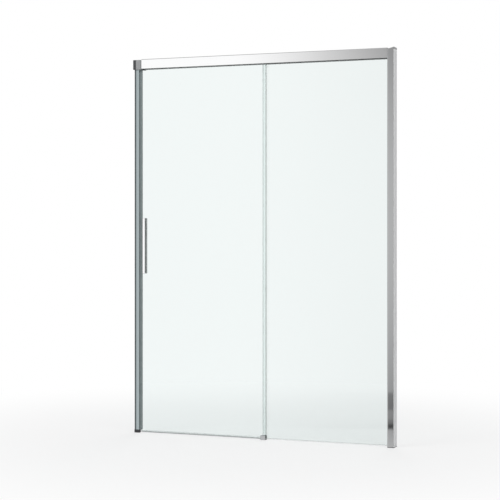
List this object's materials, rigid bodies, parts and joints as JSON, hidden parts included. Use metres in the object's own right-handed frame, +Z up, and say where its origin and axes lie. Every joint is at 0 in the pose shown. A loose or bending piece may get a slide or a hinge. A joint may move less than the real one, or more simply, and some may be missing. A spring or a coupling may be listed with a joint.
{
  "type": "sliding shower door",
  "caption": "Sliding shower door for a recess: glass door on rollers in a header rail, fixed glass pane, wall profiles, bar handle and floor guide.",
  "frame": {"origin": "middle of the opening between the two walls, in the middle of the header's depth, on the floor", "axes": "+X from the closing side to the fixed side, +Y into the shower, +Z up"},
  "size_m": [1.4, 0.062, 1.953],
  "materials": {
    "chrome": "polished",
    "silver_cap": "satin silver",
    "dark_socket": "satin dark grey",
    "aluminium": "anodised",
    "glass": "clear toughened",
    "dark_rubber": "matte",
    "grey_vinyl": "soft",
    "clear_vinyl": "translucent",
    "white_nylon": "moulded",
    "dark_nylon": "moulded",
    "steel": "stainless"
  },
  "bodies": {
    "frame": {"header_cover": "chrome", "right_glass_profile": "chrome", "floor_guide_body": "chrome", "rail_end_cap_left": "silver_cap", "rail_end_plugs_right": "silver_cap", "right_profile_cap": "silver_cap", "rail_wall_socket_left": "dark_socket", "header_rail": "aluminium", "left_strike_profile": "aluminium", "left_wall_channel": "aluminium", "right_wall_channel": "aluminium", "rail_end_bracket_right": "aluminium", "fixed_glass": "glass", "left_strike_seal": "grey_vinyl", "rail_end_gasket_left": "dark_rubber", "right_glazing_gasket_front": "dark_rubber", "right_glazing_gasket_back": "dark_rubber", "fixed_glass_top_gasket": "dark_rubber", "stop_buffer_left": "dark_rubber", "stop_buffer_right": "dark_rubber", "floor_guide_pad": "dark_rubber", "fixed_glass_edge_seal": "clear_vinyl", "fixed_glass_bottom_channel": "clear_vinyl", "stop_block_left": "white_nylon", "stop_block_right": "white_nylon", "floor_guide_liner": "white_nylon", "left_profile_foot": "dark_nylon", "right_profile_foot": "dark_nylon", "left_lock_screws": "steel", "right_lock_screws": "steel", "rail_bracket_screws_left": "steel", "rail_bracket_screws_right": "steel", "stop_screws": "steel", "roller_track": "steel"},
    "door": {"door_glass": "glass", "door_top_channel": "aluminium", "door_top_channel_pad": "dark_rubber", "door_bottom_seal": "clear_vinyl", "door_closing_seal": "grey_vinyl", "door_overlap_seal": "clear_vinyl", "handle_outer": "chrome", "handle_inner": "chrome", "handle_pads": "clear_vinyl", "handle_sleeves": "white_nylon", "handle_bolts": "steel", "carriage_left": "steel", "carriage_right": "steel", "carriage_bolts": "steel", "carriage_axles": "steel", "axle_clips": "steel", "bearing_inner_rings": "steel", "anti_lift_pads": "white_nylon"},
    "wheel_1": {"wheel_1_tyre": "white_nylon", "wheel_1_bearing": "steel"},
    "wheel_2": {"wheel_2_tyre": "white_nylon", "wheel_2_bearing": "steel"},
    "wheel_3": {"wheel_3_tyre": "white_nylon", "wheel_3_bearing": "steel"},
    "wheel_4": {"wheel_4_tyre": "white_nylon", "wheel_4_bearing": "steel"}
  },
  "joints": [
    {"name": "door_slide", "type": "slide", "parent": "frame", "child": "door", "axis": [1, 0, 0], "range_m": [0, 0.621]},
    {"name": "wheel_1_spin", "type": "hinge", "parent": "door", "child": "wheel_1", "pos_m": [-0.5977, -0.006, 1.9345], "axis": [0, 1, 0], "continuous": true},
    {"name": "wheel_2_spin", "type": "hinge", "parent": "door", "child": "wheel_2", "pos_m": [-0.5277, -0.006, 1.9345], "axis": [0, 1, 0], "continuous": true},
    {"name": "wheel_3_spin", "type": "hinge", "parent": "door", "child": "wheel_3", "pos_m": [-0.1063, -0.006, 1.9345], "axis": [0, 1, 0], "continuous": true},
    {"name": "wheel_4_spin", "type": "hinge", "parent": "door", "child": "wheel_4", "pos_m": [-0.0363, -0.006, 1.9345], "axis": [0, 1, 0], "continuous": true}
  ],
  "couplings": [
    {"joint": "wheel_1_spin", "follows": "door_slide", "rad_per_m": 108.7},
    {"joint": "wheel_2_spin", "follows": "door_slide", "rad_per_m": 108.7},
    {"joint": "wheel_3_spin", "follows": "door_slide", "rad_per_m": 108.7},
    {"joint": "wheel_4_spin", "follows": "door_slide", "rad_per_m": 108.7}
  ]
}
